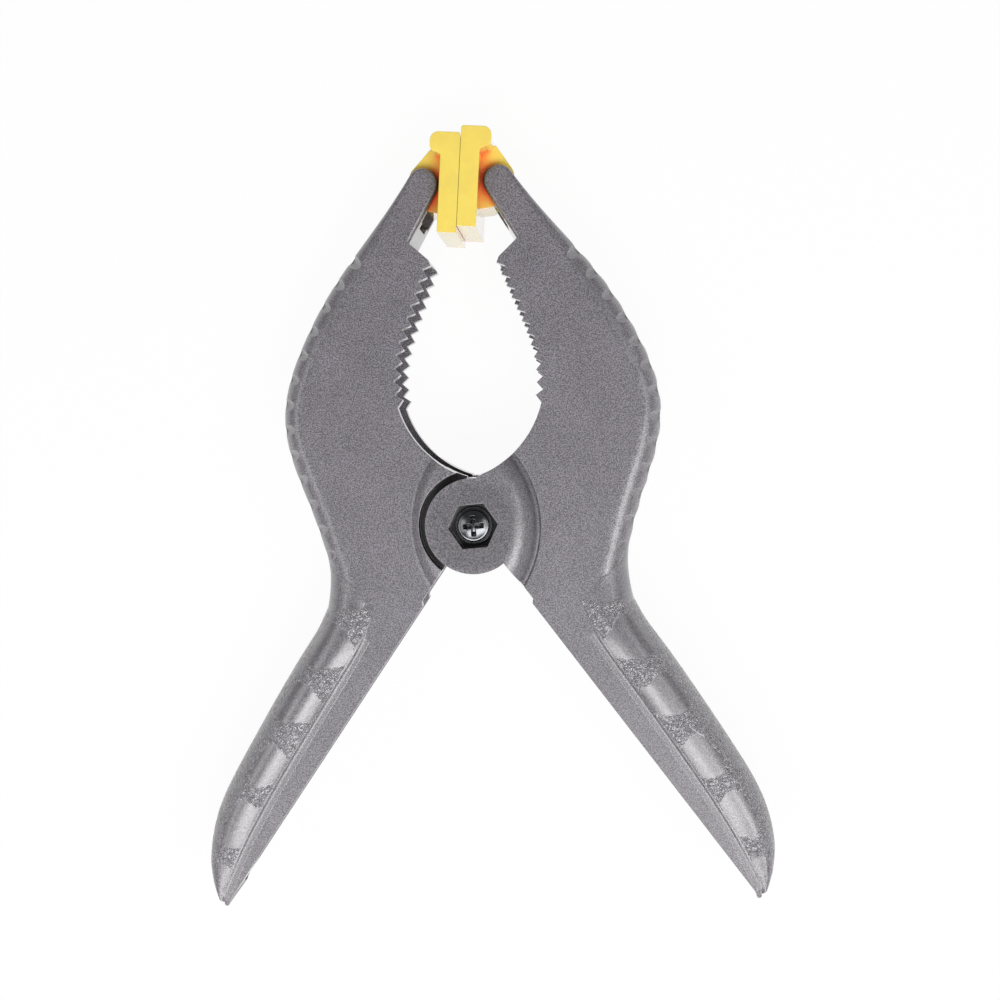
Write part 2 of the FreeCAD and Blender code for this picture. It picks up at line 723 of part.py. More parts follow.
def make_pad(name, side):
    """One orange pad, drawn about its trunnions and then set on its arm at the photographed tilt."""
    face = size("pin_offset") * math.cos(math.radians(size("pad_tilt"))) - size("pad_gap") / 2
    body = doc.addObject("PartDesign::Body", name)
    slab = body_sketch(body, name + "_slab_sketch", slab_outline(face))
    body_pad(body, name + "_slab", slab, "Sizes.hub_thickness")
    low = CHANNEL_FLOOR + " + Sizes.lug_gap"
    lug_width = "Sizes.jaw_thickness - 2 * Sizes.cheek_wall - 2 * Sizes.lug_gap"
    lug = body_sketch(body, name + "_lug_sketch", lug_outline(face), height=low)
    body_pad(body, name + "_lug", lug, lug_width)
    ring = [circle(size("trunnion_radius"))]
    pegs = body_sketch(body, name + "_trunnion_sketch", ring, height=f"{low} - Sizes.trunnion_length")
    body_pad(body, name + "_trunnions", pegs, f"{lug_width} + 2 * Sizes.trunnion_length")
    doc.recompute()
    upright = Rotation(Vector(0, 0, 1), -size("pad_tilt"))
    if side < 0:
        flip = Placement(Vector(0, 0, size("hub_thickness")), Rotation(Vector(0, 1, 0), 180))
    else:
        flip = Placement()
    body.Placement = Placement(Vector(side * PIN.x, PIN.y, 0), upright).multiply(flip)
    body.Label = name
    return body


# The pivot hardware


def make_sleeve_nut():
    """Hex head flush in the lower pocket, with a long barrel up through all four ears."""
    name = "pivot_sleeve_nut"
    body = doc.addObject("PartDesign::Body", name)
    flats = size("hex_flats") - size("nut_flats_gap")
    corners = [polar(flats / math.sqrt(3), 60 * corner - size("hex_turn")) for corner in range(7)]
    head = body_sketch(body, name + "_head_sketch", lines(corners))
    body_pad(body, name + "_head", head, "Sizes.hex_depth")
    barrel = body_sketch(body, name + "_barrel_sketch", [circle(size("barrel_radius"))])
    body_pad(body, name + "_barrel", barrel, BARREL_END)
    thread = [circle(size("screw_radius") + size("thread_fit"))]
    bore = body_sketch(body, name + "_bore_sketch", thread, height=BARREL_END)
    body_pocket(body, name + "_bore", bore, "Sizes.screw_reach + Sizes.bore_spare")
    doc.recompute()
    body.Label = name
    return body


def make_washer():
    """The plain washer under the screw's head, resting on the barrel's end."""
    name = "screw_washer"
    body = doc.addObject("PartDesign::Body", name)
    rings = [circle(size("washer_radius")), circle(size("screw_radius") + size("washer_hole_gap"))]
    plate = body_sketch(body, name + "_sketch", rings, height=BARREL_END)
    body_pad(body, name + "_plate", plate, "Sizes.washer_thickness")
    doc.recompute()
    body.Label = name
    return body


# The pan head's crown: the flat's share of the radius, and its shoulder's share of radius and rise.
PAN_FLAT = 0.35
PAN_SHOULDER = (0.82, 0.68)


def make_screw():
    """Pan head machine screw with a cross recess."""
    name = "pivot_screw"
    body = doc.addObject("PartDesign::Body", name)
    seat = size("hub_thickness") - size("hex_depth") + size("barrel_end_play") + size("washer_thickness")
    top = seat + size("screw_head")
    rim = seat + size("screw_rim")
    radius, shank = size("screw_head_radius"), size("screw_radius")
    foot = seat - size("screw_reach")
    chamfer = size("screw_chamfer")
    flat = radius * PAN_FLAT
    dome = Vector(radius * PAN_SHOULDER[0], rim + (top - rim) * PAN_SHOULDER[1], 0)
    profile = [
        *lines([Vector(0, top, 0), Vector(flat, top, 0)]),
        Part.Arc(Vector(flat, top, 0), dome, Vector(radius, rim, 0)),
        *lines(
            [
                Vector(radius, rim, 0),
                Vector(radius, seat, 0),
                Vector(shank, seat, 0),
                Vector(shank, foot + chamfer, 0),
                Vector(shank - chamfer, foot, 0),
                Vector(0, foot, 0),
                Vector(0, top, 0),
            ]
        ),
    ]
    sketch = body_sketch(body, name + "_profile", profile, "XZ_Plane")
    turn = body.newObject("PartDesign::Revolution", name + "_turned")
    turn.Profile = sketch
    turn.ReferenceAxis = (sketch, ["V_Axis"])
    turn.Angle = 360
    doc.recompute()
    reach, half = size("cross_length") / 2, size("cross_width") / 2
    arms = []
    for quarter in range(4):
        spin = Rotation(Vector(0, 0, 1), 90 * quarter)
        arms += [spin.multVec(Vector(half, half, 0)), spin.multVec(Vector(half, reach, 0))]
        arms += [spin.multVec(Vector(-half, reach, 0))]
    arms.reverse()
    cross = body_sketch(body, name + "_cross", lines(arms + arms[:1]), height=str(top))
    body_pocket(body, name + "_recess", cross, "Sizes.cross_depth")
    doc.recompute()
    body.Label = name
    return body


# The spring


def biarc(start, start_way, end, end_way):
    """Two arcs that join two points and keep both directions."""
    span = end - start
    ways = start_way + end_way
    spread = 2 * (1 - start_way.dot(end_way))
    reach = (-span.dot(ways) + math.sqrt(span.dot(ways) ** 2 + spread * span.dot(span))) / spread
    joint = (start + end + (start_way - end_way) * reach) / 2
    return [arc_from(start, start_way, joint), arc_from(end, end_way * -1, joint)]


def arc_from(start, way, end):
    """The arc that leaves start in the direction way and ends at end."""
    chord = end - start
    along = Vector(chord).normalize()
    side = (way - along * way.dot(along)).normalize()
    angle = way.getAngle(chord)
    middle = start + chord / 2 + side * (chord.Length / 2 * math.tan(angle / 2))
    return Part.Arc(start, middle, end)


def make_spring():
    """Round wire wound about the barrel, one straight leg down each handle."""
    radius, wire = size("coil_radius"), size("wire_diameter") / 2
    right_angle = size("handle_angle")
    left_angle = 180 - right_angle
    sweep = left_angle - right_angle + 360 * SPRING_TURNS
    pieces = round(sweep / 90)
    step = sweep / pieces
    rise = size("coil_pitch") * step / 360
    drop = rise * (pieces - 1)
    high = MID + drop / 2
    slope = rise / (radius * math.radians(step))
    nodes = []
    level = high
    for number in range(pieces + 1):
        angle = left_angle - number * step
        spot = polar(radius, angle) + Vector(0, 0, level)
        flat = number in (0, pieces)
        way = polar(1, angle - 90) - Vector(0, 0, 0 if flat else slope)
        nodes.append((spot, way.normalize()))
        level -= rise / 2 if number in (0, pieces - 1) else rise
    left_way = nodes[0][1] * -1
    left_end = nodes[0][0] + left_way * size("leg_length")
    right_end = nodes[-1][0] + nodes[-1][1] * size("leg_length")
    path = [Part.LineSegment(left_end, nodes[0][0])]
    for (spot, way), (next_spot, next_way) in zip(nodes, nodes[1:]):
        path += biarc(spot, way, next_spot, next_way)
    path.append(Part.LineSegment(nodes[-1][0], right_end))
    route = Part.Wire(Part.__sortEdges__([curve.toShape() for curve in path]))
    section = Part.Wire([Part.Circle(left_end, left_way, wire).toShape()])
    spring = doc.addObject("Part::Feature", "torsion_spring")
    spring.Shape = route.makePipeShell([section], True, False)
    spring.Placement = Placement()
    spring.Label = "torsion_spring"
    print("spring gap", round(least_gap(route, radius, wire), 3))
    share = spring.Shape.Volume / (math.pi * wire**2 * route.Length)
    print("spring height", round(drop + 2 * wire, 2), "volume share", round(share, 4))
    return spring


def least_gap(route, radius, wire):
    """The least distance between one turn's surface and the next, on points along the wire."""
    step = 0.5
    points = route.discretize(Distance=step)
    apart = int(math.pi * radius / step)
    best = min(a.distanceToPoint(b) for i, a in enumerate(points) for b in points[i + apart:])
    return best - 2 * wire


def check(parts):
    """Stops the script if any object failed or any solid is not sound."""
    for item in doc.Objects:
        if "Invalid" in item.State or "Error" in item.State:
            raise RuntimeError(f"{item.Name} failed: {item.State}")
    for part in parts:
        shape = part.Shape
        if shape.isNull() or not shape.isValid() or not shape.Solids:
            raise RuntimeError(f"{part.Label} is not a sound solid")
        print(part.Label, "solids", len(shape.Solids), "volume", round(shape.Volume, 1))


right_lever = make_lever()
doc.recompute()
PARTS = [
    turn_over("left_lever", right_lever),
    right_lever,
    make_pad("left_pad", -1),
    make_pad("right_pad", 1),
    make_spring(),
    make_sleeve_nut(),
    make_screw(),
    make_washer(),
]
doc.recompute()
check(PARTS)
os.makedirs("parts", exist_ok=True)
for part in PARTS:
    part.Shape.exportStep(f"parts/{part.Label}.step")
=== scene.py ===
import math

import bmesh
import bpy
import numpy as np
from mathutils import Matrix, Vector
from mathutils.bvhtree import BVHTree


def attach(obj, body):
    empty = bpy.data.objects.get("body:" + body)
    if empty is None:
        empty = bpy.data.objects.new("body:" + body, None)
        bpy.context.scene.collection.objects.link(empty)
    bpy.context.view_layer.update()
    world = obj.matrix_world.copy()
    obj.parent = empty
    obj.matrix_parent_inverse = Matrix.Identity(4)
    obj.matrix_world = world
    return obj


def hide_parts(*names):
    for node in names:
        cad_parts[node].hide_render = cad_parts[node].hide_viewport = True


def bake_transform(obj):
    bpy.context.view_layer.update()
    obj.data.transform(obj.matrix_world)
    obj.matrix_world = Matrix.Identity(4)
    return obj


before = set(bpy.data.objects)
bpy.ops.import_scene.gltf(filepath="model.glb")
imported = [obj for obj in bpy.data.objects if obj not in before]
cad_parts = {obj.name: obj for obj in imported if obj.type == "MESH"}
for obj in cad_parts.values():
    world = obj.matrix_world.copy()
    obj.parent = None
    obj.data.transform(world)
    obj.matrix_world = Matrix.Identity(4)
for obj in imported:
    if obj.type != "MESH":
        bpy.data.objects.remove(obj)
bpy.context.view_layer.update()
levers = {"left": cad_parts["left_lever"], "right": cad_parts["right_lever"]}
MM = 0.001

# The camera
# The clamp lies flat and the camera hangs over it, a little to the right of the pivot and
# leaning by three or four degrees, so the left jaw's inner edge walls show.

CAMERA_PLACE = (30.38, 28.23, 378.28)
CAMERA_LEAN = (-0.0619, 0.0610, -0.0396)
SENSOR_WIDTH = 36.0
LENS = 43.05

camera_data = bpy.data.cameras.new("overhead_camera")
camera_data.sensor_width = SENSOR_WIDTH
camera_data.lens = LENS
camera_data.clip_start = 0.01
camera = bpy.data.objects.new("overhead_camera", camera_data)
camera.location = Vector(CAMERA_PLACE) * MM
camera.rotation_euler = CAMERA_LEAN
bpy.context.scene.collection.objects.link(camera)
bpy.context.scene.camera = camera

# The lever mouldings
# Two halves of glass-filled nylon, injection moulded. The cheeks have the matt grain of a
# spark-eroded mould; the edge walls slid along polished steel and came out smoother.


def linear(code):
    """A colour written as sRGB hex, turned to linear for a shader."""
    shares = [int(code[place:place + 2], 16) / 255 for place in (1, 3, 5)]
    return [c / 12.92 if c <= 0.04045 else ((c + 0.055) / 1.055) ** 2.4 for c in shares] + [1.0]


def new_material(name):
    material = bpy.data.materials.new(name)
    material.use_nodes = True
    material.node_tree.nodes.clear()
    return material


def add_node(material, kind, inputs=(), **settings):
    """Adds a node, sets its properties, and gives its inputs values or links. Returns it."""
    tree = material.node_tree
    made = tree.nodes.new(kind)
    for word, value in settings.items():
        setattr(made, word, value)
    for socket, value in dict(inputs).items():
        if isinstance(value, bpy.types.NodeSocket):
            tree.links.new(value, made.inputs[socket])
        else:
            made.inputs[socket].default_value = value
    return made


def millimetres(material):
    """The object's own coordinates in millimetres, for patterns sized from the real thing."""
    place = add_node(material, "ShaderNodeTexCoord")
    scaled = add_node(
        material,
        "ShaderNodeMapping",
        {"Vector": place.outputs["Object"], "Scale": (1 / MM, 1 / MM, 1 / MM)},
    )
    return scaled.outputs["Vector"]


CHEEK_DARK = "#504d51"
CHEEK_LIGHT = "#8e8991"
# pale colour along the rounded edges: a painted highlight
EDGE_PAINTED_HIGHLIGHT = "#b9b5ba"
FLOW_CLOUD = 14.0
DISC_PAINTED_SHADE = 0.70  # painted shade: the hub's disc is coloured darker, out to where its shoulder begins
DISC_EDGE = (11.5, 15.0)
SPARK_GRAIN = 0.36  # a spark-eroded mould's pits are near 0.1 mm, drawn coarser so that they show
HOLLOW_REACH = 7.0  # how far painted shade reaches from a wall or a rim onto what lies beside it
EDGE_ROUND = 0.4
CHEEK_PIT_DEPTH = 0.06


def nylon_colour(material, place, dark, light):
    """Charcoal nylon: a salt and pepper of pits and glass fibres, with faint flow clouds, and painted
    shade in hollows and over the hub's disc.

    Returns the colour, the pits' height, and how open to the room each place is.
    """
    pits = add_node(
        material,
        "ShaderNodeTexNoise",
        {"Vector": place, "Scale": 1 / SPARK_GRAIN, "Detail": 2.0, "Roughness": 0.6},
    )
    flow = add_node(
        material,
        "ShaderNodeTexNoise",
        {"Vector": place, "Scale": 1 / FLOW_CLOUD, "Detail": 3.0},
    )
    spread = add_node(
        material,
        "ShaderNodeMapRange",
        {"Value": pits.outputs["Fac"], "From Min": 0.41, "From Max": 0.59},
    )
    base = add_node(
        material,
        "ShaderNodeMix",
        {0: spread.outputs["Result"], 6: linear(dark), 7: linear(light)},
        data_type="RGBA",
    )
    cloud = add_node(
        material,
        "ShaderNodeMapRange",
        {
            "Value": flow.outputs["Fac"],
            "From Min": 0.3,
            "From Max": 0.7,
            "To Min": 0.93,
            "To Max": 1.07,
        },
    )
    clouded = add_node(
        material,
        "ShaderNodeVectorMath",
        {0: base.outputs[2], "Scale": cloud.outputs["Result"]},
        operation="SCALE",
    )
    # Painted shade: the colour darkens in hollows beside walls and rims, where shade falls.
    reach = add_node(material, "ShaderNodeAmbientOcclusion", {"Distance": HOLLOW_REACH * MM}, samples=10)
    hollow_shade = add_node(
        material,
        "ShaderNodeMapRange",
        {
            "Value": reach.outputs["AO"],
            "From Min": 0.20,
            "From Max": 0.70,
            "To Min": 0.06,
            "To Max": 1.0,
        },
    )
    flattened = add_node(
        material,
        "ShaderNodeVectorMath",
        {0: place, 1: (1.0, 1.0, 0.0)},
        operation="MULTIPLY",
    )
    from_pivot = add_node(
        material,
        "ShaderNodeVectorMath",
        {0: flattened.outputs["Vector"]},
        operation="LENGTH",
    )
    # Painted shade: the hub's disc is coloured darker, out to where its shoulder begins.
    disc_shade = add_node(
        material,
        "ShaderNodeMapRange",
        {
            "Value": from_pivot.outputs["Value"],
            "From Min": DISC_EDGE[0],
            "From Max": DISC_EDGE[1],
            "To Min": DISC_PAINTED_SHADE,
            "To Max": 1.0,
        },
    )
    tone = add_node(
        material,
        "ShaderNodeMath",
        {0: hollow_shade.outputs["Result"], 1: disc_shade.outputs["Result"]},
        operation="MULTIPLY",
    )
    shaded = add_node(
        material,
        "ShaderNodeVectorMath",
        {0: clouded.outputs["Vector"], "Scale": tone.outputs["Value"]},
        operation="SCALE",
    )
    return shaded.outputs["Vector"], pits.outputs["Fac"], hollow_shade.outputs["Result"]


def slope_polish(material):
    """How polished the surface is: fully where it leans, little on the spark-eroded flats."""
    surface = add_node(material, "ShaderNodeNewGeometry")
    leaning = add_node(material, "ShaderNodeSeparateXYZ", {"Vector": surface.outputs["Normal"]})
    steepness = add_node(material, "ShaderNodeMath", {0: leaning.outputs["Z"]}, operation="ABSOLUTE")
    polished = add_node(
        material,
        "ShaderNodeMapRange",
        {
            "Value": steepness.outputs["Value"],
            "From Min": 0.975,
            "From Max": 0.998,
            "To Min": 1.0,
            "To Max": 0.2,
        },
    )
    return polished.outputs["Result"]


def spark_eroded_nylon():
    material = new_material("glass_filled_nylon_spark_eroded")
    place = millimetres(material)
    colour, pits, open_share = nylon_colour(material, place, CHEEK_DARK, CHEEK_LIGHT)
    soft_edge = add_node(material, "ShaderNodeBevel", {"Radius": EDGE_ROUND * MM}, samples=8)
    flat = add_node(material, "ShaderNodeNewGeometry")
    turned = add_node(
        material,
        "ShaderNodeVectorMath",
        {0: soft_edge.outputs["Normal"], 1: flat.outputs["Normal"]},
        operation="DOT_PRODUCT",
    )
    # Painted highlight: a pale colour along rounded edges, where light catches them.
    edge_highlight_share = add_node(
        material,
        "ShaderNodeMapRange",
        {"Value": turned.outputs["Value"], "From Min": 0.96, "From Max": 0.75, "To Max": 0.8},
    )
    edge_highlighted = add_node(
        material,
        "ShaderNodeMix",
        {0: edge_highlight_share.outputs["Result"], 6: colour, 7: linear(EDGE_PAINTED_HIGHLIGHT)},
        data_type="RGBA",
    )
    upright = add_node(material, "ShaderNodeSeparateXYZ", {"Vector": flat.outputs["True Normal"]})
    level = add_node(material, "ShaderNodeMath", {0: upright.outputs["Z"]}, operation="ABSOLUTE")
    gloss = add_node(
        material,
        "ShaderNodeMapRange",
        {"Value": level.outputs["Value"], "From Max": 0.25, "To Min": 0.12, "To Max": 0.52},
    )
    depth = add_node(
        material,
        "ShaderNodeMapRange",
        {"Value": level.outputs["Value"], "From Max": 0.25, "To Min": 0.05, "To Max": 0.50},
    )
    coat = add_node(
        material,
        "ShaderNodeMath",
        {0: slope_polish(material), 1: open_share},
        operation="MULTIPLY",
    )
    grain = add_node(
        material,
        "ShaderNodeBump",
        {
            "Height": pits,
            "Distance": CHEEK_PIT_DEPTH * MM,
            "Strength": depth.outputs["Result"],
            "Normal": soft_edge.outputs["Normal"],
        },
    )
    shader = add_node(
        material,
        "ShaderNodeBsdfPrincipled",
        {
            "Base Color": edge_highlighted.outputs[2],
            "Roughness": gloss.outputs["Result"],
            "IOR": 1.53,
            "Specular IOR Level": 0.5,
            "Coat Weight": coat.outputs["Value"],
            "Coat Roughness": 0.29,
            "Coat IOR": 1.7,
            "Coat Normal": grain.outputs["Normal"],
            "Normal": grain.outputs["Normal"],
        },
    )
    add_node(material, "ShaderNodeOutputMaterial", {"Surface": shader.outputs["BSDF"]})
    return material


def cover(node, material):
    """Gives every material slot of a piece the same material."""
    for place in range(len(node.data.materials)):
        node.data.materials[place] = material


lever_nylon = spark_eroded_nylon()
for lever in levers.values():
    cover(lever, lever_nylon)

# The grips
# The outer half of each handle is a raised, crowned grip in the same nylon. The mould was etched
# with a leather grain that leaves smooth polished windows along the crown.

HANDLE_LEAN = math.radians(35.5)
GRIP_WIDTH = 22.0
MID_PLANE = 15.0
# distance down the handle, then the border and the outer edge as shares of the grip's width
GRIP_RUN = [
    (30.0, 0.60, 1.38),
    (38.0, 0.50, 1.25),
    (47.0, 0.42, 1.085),
    (61.0, 0.38, 1.035),
    (85.0, 0.345, 0.99),
    (106.0, 0.295, 0.92),
    (119.0, 0.24, 0.83),
    (127.0, 0.185, 0.70),
    (132.5, 0.135, 0.56),
    (136.8, 0.085, 0.375),
    (139.6, 0.03, 0.17),
]
SKIN_START, SKIN_END = 18.0, 139.0
SKIN_STEP = 0.30
STRIP = 2.6  # the polished strip on the cheek beside the raised grip
STRIP_START = 45.0
STRIP_LIFT = 0.025
STRIP_SHINE = 0.12
LEATHER_START = 37.0  # where the leather begins at the border; it begins LEATHER_LAG later outside
LEATHER_LAG = 10.0
WAIST_FILL = (23.0, 43.0, 46.0, 56.0)  # where the filled waist begins, is full, fades and ends
FACE_HEIGHT = 3.0  # the windows and the border show on the two faces, not on the outer edge
PROUD = 0.03  # how far the smooth skin stands off the handle
LEATHER_LIFT = 0.035
CELL_LIFT = 0.02
CREASE_DEPTH = 0.065
BORDER_DEPTH = 0.03
BORDER_WIDTH = 0.20
# the smooth windows: middle down the handle, middle across as a share, and half sizes of both
WINDOWS = [
    (54.6, 0.40, 6.4, 0.46),
    (74.4, 0.37, 6.2, 0.44),
    (95.6, 0.28, 6.9, 0.38),
    (115.8, 0.20, 7.2, 0.46),
    (138.6, 0.05, 9.0, 0.62),
]
WINDOW_FAN = 0.45  # how fast a window lengthens away from the border
WINDOW_SHEAR = 0.16
WINDOW_ROUND = 2.6  # the power of the rounded box that a window's outline is
LEATHER_CELL = 1.2
CREASE = 0.26
CREASE_SHIFT = 0.55  # how far the cells are pushed out of line, in shifts CREASE_WANDER apart
CREASE_WANDER = 1.3
SUNK = 0.2  # how far the skin lies under the handle where the moulding is plain
TIP_FADE = (110.0, 130.0)  # hands polish the grip less towards its tip, by the share TIP_DULL
TIP_DULL = 0.65
RAYS = 260  # rays over one cross-section, from one cheek over the outer edge to the other
RAY_LENGTH = 45
FIRST_RAY_RISE = 10.5
SKIN_SOFTEN = (3.0, 2.2)  # running means down the handle and across it, in rows and in rays
WAIST_SOFTEN = (20.0, 9.0)


def hashed(cells, salt):
    """Repeatable numbers from 0 to 1 for whole-number cells."""
    mixed = cells[..., 0] * 127.1 + cells[..., 1] * 311.7 + cells[..., 2] * 74.7 + salt * 53.3
    return np.modf(np.abs(np.sin(mixed) * 43758.5453))[0]


def wander(points, size, salt):
    """A smooth noise from -1 to 1 over points in millimetres, with bumps about size apart."""
    scaled = points / size
    whole = np.floor(scaled)
    part = scaled - whole
    part = part * part * (3 - 2 * part)
    total = 0
    for x in (0, 1):
        for y in (0, 1):
            for z in (0, 1):
                corner = np.array([x, y, z])
                weight = np.abs(1 - corner - part).prod(axis=-1)
                total = total + weight * hashed(whole + corner, salt)
    return 2 * total - 1


def creases(points):
    """How far each point is from the nearest crease between two leather cells, in millimetres."""
    shift = np.stack([wander(points, CREASE_WANDER, salt) for salt in (1, 2, 3)], axis=-1)
    scaled = (points + CREASE_SHIFT * shift) / LEATHER_CELL
    whole = np.floor(scaled)
    first = np.full(scaled.shape[:-1], 9.0)
    second = first.copy()
    for x in (-1, 0, 1):
        for y in (-1, 0, 1):
            for z in (-1, 0, 1):
                cell = whole + np.array([x, y, z])
                centre = cell + np.stack([hashed(cell, salt) for salt in (5, 6, 7)], axis=-1)
                gap = np.linalg.norm(centre - scaled, axis=-1)
                second = np.minimum(second, np.maximum(first, gap))
                first = np.minimum(first, gap)
    return (second - first) * LEATHER_CELL / 2


def eased(value, low, high):
    share = np.clip((value - low) / (high - low), 0, 1)
    return share * share * (3 - 2 * share)


def blurred(grid, spread, axis):
    """A running mean with soft ends along one axis of a grid."""
    reach = int(3 * spread)
    weights = np.exp(-0.5 * (np.arange(-reach, reach + 1) / spread) ** 2)
    weights /= weights.sum()
    padded = np.pad(grid, [(reach, reach) if a == axis else (0, 0) for a in (0, 1)], mode="edge")
    return np.apply_along_axis(lambda row: np.convolve(row, weights, mode="valid"), axis, padded)


def grip_skin(side):
    """The grip's moulded surface as its own mesh, a hair proud of the solid handle under it."""
    lever = levers[side]
    mirror = 1 if side == "right" else -1
    down = np.array([math.sin(HANDLE_LEAN) * mirror, -math.cos(HANDLE_LEAN), 0.0])
    out = np.array([math.cos(HANDLE_LEAN) * mirror, math.sin(HANDLE_LEAN), 0.0])
    surface = BVHTree.FromPolygons(
        [tuple(v.co / MM) for v in lever.data.vertices],
        [tuple(p.vertices) for p in lever.data.polygons],
    )
    steps = int((SKIN_END - SKIN_START) / SKIN_STEP)
    along = np.linspace(SKIN_START, SKIN_END, steps)
    stations = np.array(GRIP_RUN)
    border = np.interp(along, stations[:, 0], stations[:, 1]) * GRIP_WIDTH
    outer = np.interp(along, stations[:, 0], stations[:, 2]) * GRIP_WIDTH
    middle = border + 0.5 * (outer - border)
    reach = np.zeros((steps, RAYS))
    turn = np.zeros((steps, RAYS))
    for row in range(steps):
        start = math.atan2(FIRST_RAY_RISE, border[row] - STRIP - 0.5 - middle[row])
        turn[row] = np.linspace(start, -start, RAYS)
        centre = down * along[row] + out * middle[row] + np.array([0, 0, MID_PLANE])
        for column, angle in enumerate(turn[row]):
            way = out * math.cos(angle) + np.array([0, 0, math.sin(angle)])
            gap = surface.ray_cast(Vector(centre + way * RAY_LENGTH), Vector(-way))[3]
            reach[row, column] = reach[row, column - 1] if gap is None else RAY_LENGTH - gap
    reach = blurred(blurred(reach, SKIN_SOFTEN[0], 0), SKIN_SOFTEN[1], 1)
    waist = eased(along, *WAIST_FILL[:2]) * (1 - eased(along, *WAIST_FILL[2:]))
    filled = blurred(blurred(reach, WAIST_SOFTEN[0], 0), WAIST_SOFTEN[1], 1)
    fill = waist[:, None] * np.maximum(filled - reach, 0)
    inward = eased(along, 33.0, 38.0)[:, None]  # lower down, the filling also reaches the cheek's side
    fill = fill * eased(np.cos(turn) + 0.52 * inward, 0.0, 0.35)
    reach = reach + fill
    off = middle[:, None] + reach * np.cos(turn)
    height = np.clip(reach * np.sin(turn), -MID_PLANE, MID_PLANE)
    pieces = np.hypot(np.diff(off, axis=1), np.diff(height, axis=1))
    run = np.concatenate([np.zeros((steps, 1)), np.cumsum(pieces, axis=1)], axis=1)
    columns = int(run[:, -1].max() / SKIN_STEP)
    shares = np.linspace(0, 1, columns)
    off, height, fill = (
        np.stack([np.interp(shares * run[row, -1], run[row], values[row]) for row in range(steps)])
        for values in (off, height, fill)
    )
    points = (
        along[:, None, None] * down
        + off[..., None] * out
        + (height + MID_PLANE)[..., None] * np.array([0, 0, 1.0])
    )
    normal = np.cross(np.gradient(points, axis=0), np.gradient(points, axis=1))
    normal /= np.linalg.norm(normal, axis=-1, keepdims=True)
    outward = np.sign((normal * np.array([0, 0, 1.0])).sum(-1)[:, : columns // 4].mean())
    normal *= outward
    across = (off - border[:, None]) / (outer - border)[:, None]
    down_run = np.broadcast_to(along[:, None], off.shape)
    ragged = 0.9 * wander(points, 2.4, 11) + 0.5 * wander(points, 0.9, 12)
    from_start = down_run - LEATHER_START - LEATHER_LAG * np.clip(across, 0, 1)
    rough = eased(from_start + ragged, 0.0, 0.6)
    on_face = np.abs(height) > FACE_HEIGHT
    width = (outer - border)[:, None]
    for s_middle, t_middle, s_half, t_half in WINDOWS:
        past = (across - t_middle) * width
        reach_down = np.maximum(s_half + WINDOW_FAN * past, 1.5)
        ds = (down_run + ragged * 0.8 - s_middle - WINDOW_SHEAR * past) / reach_down
        dt = (across + ragged / width * 0.6 - t_middle) / t_half
        inside = (np.abs(ds) ** WINDOW_ROUND + np.abs(dt) ** WINDOW_ROUND) ** (1 / WINDOW_ROUND)
        window = 1 - eased(inside, 0.97, 1.04)
        rough = rough * (1 - window * on_face)
    from_border = off - border[:, None]
    rough = rough * np.where(on_face, eased(from_border, 0.1, 0.35), 1.0)
    crack = creases(points)
    cell_tone = 0.5 + 0.5 * wander(points, 1.1, 21)
    in_crease = 1 - eased(crack, 0.0, CREASE)
    relief = PROUD + rough * (LEATHER_LIFT + CELL_LIFT * cell_tone - CREASE_DEPTH * in_crease)
    # a fine groove runs down the border, deepest beside the leather
    groove = np.exp(-(((from_border - 0.10) / BORDER_WIDTH) ** 2)) * on_face
    beside = np.argmin(np.abs(from_border - 0.8), axis=1)[:, None]
    patch = 0.3 + 0.7 * np.take_along_axis(rough, beside, axis=1) * eased(along, 45.0, 49.0)[:, None]
    relief -= BORDER_DEPTH * groove * patch
    # the skin shows on the grip, on the strip beside it and where the waist is filled
    start = from_start + 0.5 * ragged
    grip_part = eased(start, -0.9, 0.0) * np.where(on_face, eased(from_border, -0.15, 0.15), 1.0)
    strip_edge = np.where(on_face, eased(from_border, -STRIP, -STRIP + 0.2), 1.0)
    strip_part = eased(down_run, STRIP_START, STRIP_START + 2.0) * strip_edge
    raised = np.maximum(grip_part, strip_part) * eased(SKIN_END - down_run, 0.0, 1.0)
    raised = np.maximum(raised, eased(fill, 0.02, 0.14))
    strip_shine = STRIP_SHINE * eased(down_run, 43.0, 50.0) * eased(from_border, -STRIP, -0.8) * on_face
    grip_shine = eased(start, -3.0, 1.0) * np.where(on_face, eased(from_border, -0.3, 0.1), 1.0)
    polish = np.maximum(grip_shine, strip_shine) * (1 - TIP_DULL * eased(down_run, *TIP_FADE))
    strip_slope = eased(from_border, -STRIP, -0.3) * (1 - eased(from_border, -0.2, 0.1))
    relief += STRIP_LIFT * strip_slope * on_face
    relief = relief * raised - SUNK * (1 - raised)
    points = (points + normal * relief[..., None]) * MM
    skin = bpy.data.meshes.new(f"{side}_grip_skin")
    index = np.arange(steps * columns).reshape(steps, columns)
    corners = [index[:-1, :-1], index[:-1, 1:], index[1:, 1:], index[1:, :-1]]
    quads = np.stack(corners, axis=-1).reshape(-1, 4)
    if outward > 0:
        quads = quads[:, ::-1]
    skin.from_pydata(points.reshape(-1, 3).tolist(), [], quads.tolist())
    # painted shade for the leather creases and the border groove, kept as the crease attribute
    deep = np.clip(0.1 * rough * in_crease + groove * patch, 0, 1)
    for name, values in (("leather", rough), ("polish", polish), ("crease", deep)):
        skin.attributes.new(name, "FLOAT", "POINT").data.foreach_set("value", values.ravel())
    skin.shade_smooth()
    piece = bpy.data.objects.new(f"{side}_grip_skin", skin)
    bpy.context.scene.collection.objects.link(piece)
    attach(piece, f"{side}_lever_body")
    return piece


GRIP_DARK = "#545155"
GRIP_LIGHT = "#88848b"
